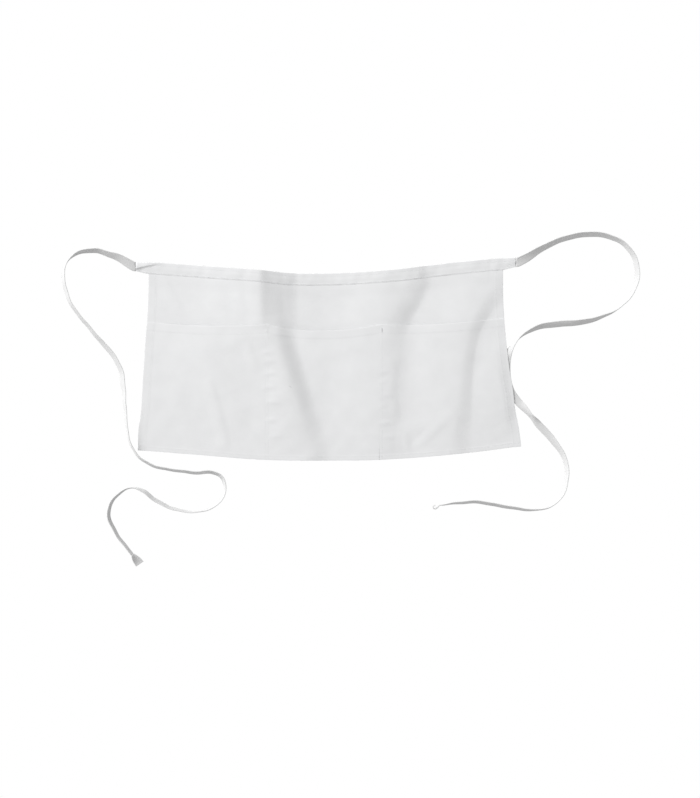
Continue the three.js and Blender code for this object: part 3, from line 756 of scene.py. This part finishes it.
def thread_object(name, centres, along, out, length, thick, material):
    """Short threads, one at each centre, each lying along its direction on a face that looks out."""
    along = unit(along)
    out = unit(out - along * np.sum(out * along, axis=-1, keepdims=True))
    side = np.cross(out, along)
    angle = 2 * np.pi * np.arange(STITCH_SIDES) / STITCH_SIDES
    ring = np.cos(angle)[:, None, None] * side[None] + np.sin(angle)[:, None, None] * out[None]
    points = (
        centres[:, None, None, :]
        + (STITCH_ALONG * length)[None, :, None, None] * along[:, None, None, :]
        + (STITCH_RISE * thick)[None, :, None, None] * out[:, None, None, :]
        + (STITCH_RADIUS * thick / 2)[None, :, None, None] * np.moveaxis(ring, 0, 1)[:, None]
    )
    count = len(centres)
    rings = len(STITCH_ALONG)
    size = rings * STITCH_SIDES
    one = grid_faces(rings, STITCH_SIDES, wrap=True)
    first = np.arange(count)[:, None, None] * size
    start = np.arange(STITCH_SIDES)[::-1]
    end = size - STITCH_SIDES + np.arange(STITCH_SIDES)
    blocks = [(first + one[None]).reshape(-1, 4), first[:, 0] + start[None], first[:, 0] + end[None]]
    return new_object(name, points.reshape(-1, 3), blocks, material)


def facing_up(centres):
    return np.broadcast_to([0.0, 0.0, 1.0], centres.shape)


def stitch_row(line, *more):
    """The places of the stitches along a line of points, with its directions and more's vectors there."""
    gone = np.concatenate([[0], np.cumsum(np.linalg.norm(np.diff(line, axis=0), axis=-1))])
    even = np.arange(STITCH_PITCH / 2, gone[-1], STITCH_PITCH)
    return [
        np.stack([np.interp(even, gone, vectors[:, axis]) for axis in range(3)], axis=-1)
        for vectors in (line, np.gradient(line, gone, axis=0), *more)
    ]


def sewn_rows(name, rows, material):
    """Rows of stitches that lie on cloth that faces up. Each row is its points' x, y and z."""
    placed = [stitch_row(np.stack(row, axis=-1)) for row in rows]
    centres, along = (np.concatenate(parts) for parts in zip(*placed))
    return thread_object(name, centres, along, facing_up(centres), STITCH_LENGTH, THREAD, material)


def new_material(name):
    material = bpy.data.materials.new(name)
    material.use_nodes = True
    return material, material.node_tree.nodes, material.node_tree.links


def set_sockets(node, **values):
    """Sets a node's sockets. An underscore in a name stands for a space."""
    for name, value in values.items():
        node.inputs[name.replace("_", " ")].default_value = value


def add_node(nodes, kind, **values):
    node = nodes.new(kind)
    set_sockets(node, **values)
    return node


def opaque(color, shade=1.0):
    return (*(shade * part for part in color), 1.0)


def uneven_color(nodes, links, place, color, shades, scale, detail):
    """The shader's colour, between two shades of one colour in soft clouds."""
    clouds = add_node(nodes, "ShaderNodeTexNoise", Scale=scale, Detail=detail)
    links.new(place.outputs["Object"], clouds.inputs["Vector"])
    tint = nodes.new("ShaderNodeMix")
    tint.data_type = "RGBA"
    set_sockets(tint, A=opaque(color, shades[0]), B=opaque(color, shades[1]))
    links.new(clouds.outputs["Fac"], tint.inputs["Factor"])
    links.new(tint.outputs["Result"], nodes["Principled BSDF"].inputs["Base Color"])


def woven(name, color, rib_turn, rib_pitch, roughness):
    """A woven cloth: diagonal ribs and slubs as a bump, with a slightly uneven colour."""
    material, nodes, links = new_material(name)
    shader = nodes["Principled BSDF"]
    set_sockets(shader, Roughness=roughness, Specular_IOR_Level=0.2, Sheen_Weight=0.06, Sheen_Roughness=0.6)
    place = nodes.new("ShaderNodeTexCoord")
    turned = add_node(nodes, "ShaderNodeMapping", Rotation=(0.0, 0.0, rib_turn))
    links.new(place.outputs["Object"], turned.inputs["Vector"])
    # At a scale of 1 the wave texture turns through 20 radians in a metre.
    rib_scale = 2 * math.pi / (20 * rib_pitch)
    ribs = add_node(nodes, "ShaderNodeTexWave", Scale=rib_scale, Distortion=0.6, Detail=1.0, Detail_Scale=0.2)
    links.new(turned.outputs["Vector"], ribs.inputs["Vector"])
    slubs = add_node(nodes, "ShaderNodeTexNoise", Scale=SLUB_SCALE, Detail=2.0)
    links.new(place.outputs["Object"], slubs.inputs["Vector"])
    height = add_node(nodes, "ShaderNodeMix", Factor=0.35)
    links.new(ribs.outputs["Fac"], height.inputs["A"])
    links.new(slubs.outputs["Fac"], height.inputs["B"])
    bump = add_node(nodes, "ShaderNodeBump", Strength=0.5, Distance=RIB_DEPTH)
    links.new(height.outputs["Result"], bump.inputs["Height"])
    links.new(bump.outputs["Normal"], shader.inputs["Normal"])
    uneven_color(nodes, links, place, color, CLOTH_SHADES, CLOUD_SCALE, 3.0)
    return material


def plain_thread(name, color):
    """Sewing thread: a slightly uneven colour."""
    material, nodes, links = new_material(name)
    set_sockets(nodes["Principled BSDF"], Roughness=0.75, Specular_IOR_Level=0.3)
    place = nodes.new("ShaderNodeTexCoord")
    uneven_color(nodes, links, place, color, THREAD_SHADES, TWIST_SCALE, 2.0)
    return material


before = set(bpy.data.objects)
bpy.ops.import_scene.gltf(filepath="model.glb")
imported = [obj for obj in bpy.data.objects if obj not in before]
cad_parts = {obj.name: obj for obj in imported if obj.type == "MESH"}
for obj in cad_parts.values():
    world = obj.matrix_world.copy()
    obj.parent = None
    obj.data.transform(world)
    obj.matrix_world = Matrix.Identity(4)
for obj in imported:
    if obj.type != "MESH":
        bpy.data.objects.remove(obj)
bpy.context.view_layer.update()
scene = bpy.context.scene

# The camera
camera = bpy.data.objects.new("camera", bpy.data.cameras.new("camera"))
camera.location = (*CAMERA_PLACE, CAMERA_HEIGHT)
camera.data.sensor_width = SENSOR
camera.data.lens = SENSOR * CAMERA_HEIGHT / (max(PICTURE) * METRES_PER_PIXEL)
camera.data.clip_end = CLIP_END
scene.collection.objects.link(camera)
scene.camera = camera

cloth = woven("white twill", CLOTH_COLOR, TWILL_TURN, *TWILL)
band_cloth = woven("white twill of the band", CLOTH_COLOR, -TWILL_TURN, *TWILL)
tape_cloth = woven("white tape", TAPE_COLOR, TAPE_TURN, *TAPE_WEAVE)
thread = plain_thread("white thread", THREAD_COLOR)
# Grey thread: the loose thread's colour, and painted shade on the right bar tack
lint_and_tack_shade = plain_thread("lint and painted tack shade", LINT_AND_TACK_SHADE_COLOR)


def tab_end(side):
    """The middle of a band tab's far end."""
    ups = BAND_FOOT + np.array([0.0, TAB_END_HEIGHT])
    edge = (np.min, np.max)[side](edge_at(side, ups))
    foot_x = edge_at(side, np.array([BAND_FOOT]))
    foot = height_at(foot_x, BAND_FOOT)[0] + TAB_END_RISES[side]
    return edge + (-1, 1)[side] * TAB_LENGTH, foot + TAB_END_HEIGHT / 2


def waves(gone, parts):
    """A sum of sine waves along a tape, each with its height, length and start."""
    return sum(height * np.sin(2 * math.pi * (gone / length + start)) for height, length, start in parts)


def tape_stitches(name, line, rings):
    """The row of sewing along one edge of a tape, on both its faces."""
    _, thin = tape_frame(line)
    column = int(np.flatnonzero(TAPE_ACROSS == TAPE_STITCH)[0])
    placed = [stitch_row(rings[:, column], -thin), stitch_row(rings[:, -1 - column], thin)]
    centres, along, out = (np.concatenate(parts) for parts in zip(*placed))
    return thread_object(name, centres, along, out, STITCH_LENGTH, THREAD, thread)


def make_tie(side, name, route, leans, ripples):
    """A tie with its row of sewing, and the points that it follows.

    It starts with a short straight lead at the given leans, from its tab to its route.
    """
    x, y = tab_end(side)
    out = (-1, 1)[side]
    lead = [(x + out * (CLEARANCE + gone), y, lean) for gone, lean in zip((0, TIE_LEAD), leans)]
    line = tape_line([*lead, *route], TAPE_STEP)
    gone = line["gone"]
    width = mix(TIE_START_WIDTH, TIE_WIDTH, smooth(gone / TIE_TAPER))
    thick = np.full_like(gone, TIE_THICKNESS)
    bow = TIE_BOW + waves(gone, TIE_BOW_WAVES)
    rings, centres = tape_rings(line, width, thick, bow, waves(gone, ripples))
    tie = tube_object(name, rings, tape_cloth)
    return tie, tape_stitches(name + "_stitches", line, rings), centres


def make_end(name, route, end_width, end_thickness, bow, bow_grows, pleat_depth):
    """A tie's turned end, which grows from the tie's section to its own."""
    line = tape_line(route, END_STEP)
    share = line["gone"] / line["gone"][-1]
    width = mix(TIE_WIDTH, end_width, share)
    thick = mix(TIE_THICKNESS, end_thickness, share)
    pleats = -pleat_depth * share * np.abs(np.sin(math.pi * line["gone"] / FAN_PLEAT_WIDTH))
    rings, _ = tape_rings(line, width, thick, bow + bow_grows * share, pleats)
    return tube_object(name, rings[line["gone"] > END_GAP], tape_cloth)


# The ties
tie_left, left_thread, left_centres = make_tie(0, "left_tie", LEFT_ROUTE, LEFT_LEAD_LEANS, LEFT_RIPPLES)
tie_right, right_thread, right_centres = make_tie(
    1, "right_tie", RIGHT_ROUTE, RIGHT_LEAD_LEANS, RIGHT_RIPPLES
)

# The end of the left tie opens out flat in pleats, and that of the right tie curls back.
tie_end_left = make_end(
    "left_tie_end", LEFT_END_ROUTE, FAN_WIDTH, FAN_THICKNESS, FAN_BOW, FAN_BOW_GROWS, FAN_PLEAT_DEPTH
)
tie_end_right = make_end("right_tie_end", RIGHT_END_ROUTE, CURL_HEIGHT, TIE_THICKNESS, TIE_BOW, 0.0, 0.0)


def cloth_grid(highest_at, head):
    """x and up for each point of a sheet that runs from the hem up to highest_at(x).

    Each column's points are close together at its foot and its head, with even steps between them.
    """
    flat_x = column_grid(np.array([POCKET_HEIGHT]))
    highest = highest_at(flat_x[0])[None, :]
    lowest = np.zeros_like(highest)
    foot = hem_places(BOTTOM_STITCH, BOTTOM_HEM)
    count = round((float(highest.mean()) - LEAD_HEIGHT) / GRID)
    share = np.linspace(0, 1, count + 1)[1:-1, None]
    even = mix(lowest + foot[-1], highest - head[-1], share)
    up = np.concatenate([lowest + foot[:, None], even, highest - head[::-1, None]])
    columns = flat_x.shape[1]
    x = np.stack([column_grid(up[:, column])[:, column] for column in range(columns)], axis=1)
    return x, up


def make_cloth(name, faces, highest_at, head):
    """A sheet of the apron's cloth, and its flat area."""
    x, up = cloth_grid(highest_at, head)
    area = float(np.sum(np.diff(x, axis=1)[:-1] * np.diff(up, axis=0)[:, :-1]))
    return sheet_object(name, x, *faces(x, up), cloth), area


# The body and the pocket panel
pocket_panel, panel_area = make_cloth(
    "pocket_cloth", panel_faces, mouth_at, hem_places(MOUTH_STITCH, MOUTH_HEM)
)
apron_body, body_area = make_cloth(
    "body_cloth", body_faces, lambda x: np.full_like(x, WAIST_END), np.array(TOP_STOPS)
)


def band_section(tall, thick, wall, depth):
    """The folded strip's section: heights above its foot, heights off its back, and 1 on its upper face."""
    bend = thick / 2
    run = np.linspace(0, 1, RUN_POINTS)
    top_run = np.linspace(1, 0, TOP_POINTS)
    turn = np.radians(np.linspace(-90, 90, BEND_POINTS + 2)[1:-1])
    none = np.zeros_like
    fall = 1 - smooth((tall * top_run) / FOOT_FALL)
    inside = FOLD_LENGTH + (depth - FOLD_LENGTH) * run
    parts = [
        (FOLD_LENGTH + (tall - bend - FOLD_LENGTH) * run, none(tall) + none(run), none(run)),
        (tall - bend + bend * np.cos(turn), bend + bend * np.sin(turn), smooth(turn / np.radians(90))),
        (
            FOLD_LENGTH + (tall - bend - FOLD_LENGTH) * top_run,
            thick - (1 - FOOT_EDGE) * wall * fall,
            1 + none(top_run),
        ),
        (none(tall) + FOLD_INSET, thick - wall + FOOT_EDGE * wall * FOLD_ROUND, FOLD_TOP),
        (inside, thick - wall + none(run), none(run)),
        (inside[:, ::-1], wall + none(run), none(run)),
        (none(tall) + FOLD_INSET, wall * FOLD_ROUND, none(FOLD_TOP)),
    ]
    up, off, top = zip(*parts)
    return np.concatenate(up, axis=1), np.concatenate(off, axis=1), np.concatenate(top)


# The waistband: one strip folded over the body's top edge, and past each side a short tab
past = np.concatenate([np.linspace(1, 0, TAB_COLUMNS, endpoint=False), np.zeros(BAND_COLUMNS)])
past = np.concatenate([past, np.linspace(0, 1, TAB_COLUMNS + 1)[1:]])[:, None]
band_share = np.linspace(0, 1, BAND_COLUMNS)
band_share = np.concatenate([np.zeros(TAB_COLUMNS), band_share, np.ones(TAB_COLUMNS)])[:, None]
band_out = np.where(band_share < 0.5, -1, 1)
tall = mix(BAND_HEIGHT, TAB_END_HEIGHT, past)
band_up, band_off, band_top = band_section(
    tall,
    mix(BAND_THICKNESS, TAB_END_THICKNESS, past),
    mix(CLOTH, TAB_END_THICKNESS / 2 - CLEARANCE, past),
    mix(BAND_DEPTH, TAB_SLOT, np.minimum(1, 2 * past)),
)


def band_points(up, off):
    """The band's points at heights above its foot and off its back."""
    level = BAND_FOOT + up
    x = mix(edge_at(0, level), edge_at(1, level), band_share) + band_out * TAB_LENGTH * past
    edge = mix(edge_at(0, BAND_FOOT), edge_at(1, BAND_FOOT), band_share)
    foot = height_at(edge, BAND_FOOT) + np.where(band_share < 0.5, *TAB_END_RISES) * past
    y = np.where(past > 0, foot + up, height_at(x, level))
    z = np.where(past > 0, 0, ground_at(x, y)) + off
    return x, y, z


def band_lift(x, y, up):
    """What the sewing, the creases and the cloth's own unevenness add to the band's upper face."""
    dip = stitch_valley(up - BAND_STITCHES[0]) + stitch_valley(tall - up - BAND_STITCHES[1])
    small = folds_rise(BAND_CREASES, x, y)
    return small + unevenness(x, y, BAND_SEED, *BAND_UNEVEN) - STITCH_DIP * dip


band_x, band_y, band_z = band_points(band_up, band_off)
band_z = band_z + band_lift(band_x, band_y, band_up) * band_top
waistband = tube_object("band_strip", np.stack([band_x, band_y, band_z], axis=-1), band_cloth)


def sewing_row(faces, x, up):
    """A row on the upper face of a sheet."""
    y, _, high = faces(x, up)
    return x, y, high


def across_row(up_at):
    """A row of the panel from side to side. A trial row gives the heights at which it ends."""
    x = np.linspace(edge_at(0, TRIAL_UP) + ROW_END, edge_at(1, TRIAL_UP) - ROW_END, ACROSS_POINTS)
    left = edge_at(0, up_at(x)) + ROW_END
    right = edge_at(1, up_at(x)) - ROW_END
    x = mix(left, right, np.linspace(0, 1, ACROSS_POINTS))
    return sewing_row(panel_faces, x, up_at(x))


def side_rows():
    """The rows down both side hems: those over the panel, and those over the body above it."""
    on_panel = []
    on_body = []
    for side, sign in ((0, 1), (1, -1)):
        top = mouth_at(edge_at(side, np.array([POCKET_HEIGHT])))[0]
        up = np.linspace(ROW_END, top - ROW_END, PANEL_SIDE_POINTS)
        on_panel.append(sewing_row(panel_faces, edge_at(side, up) + sign * SIDE_STITCH, up))
        up = np.linspace(top + ROW_OVER_MOUTH, BAND_FOOT - ROW_END, BODY_SIDE_POINTS)
        on_body.append(sewing_row(body_faces, edge_at(side, up) + sign * SIDE_STITCH, up))
    return on_panel, on_body


def seam_rows():
    """The two rows of each seam between the pockets."""
    rows = []
    for seam in SEAMS:
        for off in SEAM_STITCHES:
            x = np.full(SEAM_POINTS, seam + off)
            up = np.linspace(ROW_END, 1, SEAM_POINTS) * (mouth_at(x) - ROW_UNDER_MOUTH)
            rows.append(sewing_row(panel_faces, x, up))
    return rows


def band_row(up):
    """A row along the band from tab to tab."""
    level = np.broadcast_to(up, band_share.shape).astype(float)
    thick = mix(BAND_THICKNESS, TAB_END_THICKNESS, past)
    x, y, z = band_points(level, thick)
    z = z + band_lift(x, y, level)
    return x[:, 0], y[:, 0], z[:, 0]


# The sewing
panel_sides, body_sides = side_rows()
panel_thread = sewn_rows(
    "pocket_stitches",
    [
        *panel_sides,
        *seam_rows(),
        across_row(lambda x: np.full_like(x, BOTTOM_STITCH)),
        across_row(lambda x: mouth_at(x) - MOUTH_STITCH),
    ],
    thread,
)
body_thread = sewn_rows("body_stitches", body_sides, thread)
band_thread = sewn_rows(
    "band_stitches", [band_row(BAND_STITCHES[0]), band_row(tall - BAND_STITCHES[1])], thread
)


def bar_tack(name, x_middle, width, material):
    count = round(TACK_HEIGHT / TACK_PITCH)
    x = np.full(count, x_middle)
    up = mouth_at(x) - TACK_DROP - TACK_PITCH * np.arange(count)
    centres = np.stack(sewing_row(panel_faces, x, up), axis=-1)
    centres[:, 2] += TACK_LIFT
    slant = np.where(np.arange(count) % 2 == 0, TACK_SLANT, -TACK_SLANT)
    along = np.stack([np.ones(count), slant, np.zeros(count)], axis=-1)
    return thread_object(name, centres, along, facing_up(centres), width, TACK_THREAD, material)


left_tack = bar_tack("left_bar_tack", SEAMS[0], LEFT_TACK_WIDTH, thread)
# The right tack's grey thread is painted shade for its dense stitches; the left tack is white
right_tack = bar_tack("right_bar_tack", SEAMS[1] + RIGHT_TACK_SHIFT, RIGHT_TACK_WIDTH, lint_and_tack_shade)

lint_x = np.array(LINT_X)
lint_up = np.array(LINT_Y) - height_at(lint_x, 0.0)
lint_points = np.stack(sewing_row(panel_faces, lint_x, lint_up), axis=-1)
lint_points[:, 2] += LINT_LIFT
lint = thread_object(
    "loose_thread",
    lint_points,
    np.gradient(lint_points, axis=0),
    facing_up(lint_points),
    LINT_LENGTH,
    LINT_THICKNESS,
    lint_and_tack_shade,
)

# What each piece stands for, each row led by a slot name
for slot, node, things in (
    ("cloth", "apron_body", [apron_body, body_thread]),
    ("cloth", "pocket_panel", [pocket_panel, panel_thread, left_tack, right_tack, lint]),
    ("band", "waistband", [waistband, band_thread]),
    ("tape", "tie_left", [tie_left, left_thread]),
    ("tape", "tie_right", [tie_right, right_thread]),
    ("tape", "tie_end_left", [tie_end_left]),
    ("tape", "tie_end_right", [tie_end_right]),
):
    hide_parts(node)
    for thing in things:
        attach(thing, "root")

# The floor is plain white to the camera and pale cloth to the light.
floor_material, nodes, links = new_material("white floor")
nodes.remove(nodes["Principled BSDF"])
glow = add_node(nodes, "ShaderNodeEmission", Strength=1.0)
matt = add_node(nodes, "ShaderNodeBsdfDiffuse", Color=opaque(FLOOR_COLOR))
seen = nodes.new("ShaderNodeLightPath")
either = nodes.new("ShaderNodeMixShader")
links.new(seen.outputs["Is Camera Ray"], either.inputs["Fac"])
links.new(matt.outputs["BSDF"], either.inputs[1])
links.new(glow.outputs["Emission"], either.inputs[2])
links.new(either.outputs["Shader"], nodes["Material Output"].inputs["Surface"])
corners = [(x, y, -FLOOR_DROP) for x, y in ((-1, -1), (1, -1), (1, 1), (-1, 1))]
floor = new_object(
    "floor",
    np.array(corners) * (FLOOR_SIZE / 2, FLOOR_SIZE / 2, 1.0),
    [np.array([[0, 1, 2, 3]])],
    floor_material,
)

# The lamp and the sky
lamp = bpy.data.objects.new("lamp", bpy.data.lights.new("lamp", "AREA"))
lamp.data.shape = "DISK"
lamp.data.size = LAMP_WIDTH
lamp.data.energy = LAMP_LIGHT * math.pi * LAMP_DISTANCE**2
flat = LAMP_DISTANCE * math.cos(LAMP_HEIGHT)
level = LAMP_DISTANCE * math.sin(LAMP_HEIGHT)
lamp.location = (-flat * math.sin(LAMP_TURN), flat * math.cos(LAMP_TURN), level)
lamp.rotation_euler = (math.pi / 2 - LAMP_HEIGHT, 0.0, math.pi + LAMP_TURN)
lamp.visible_camera = False
scene.collection.objects.link(lamp)
world = bpy.data.worlds.new("sky")
world.use_nodes = True
set_sockets(world.node_tree.nodes["Background"], Color=opaque(SKY_COLOR), Strength=SKY_LIGHT)
scene.world = world
scene.view_settings.view_transform = "Standard"
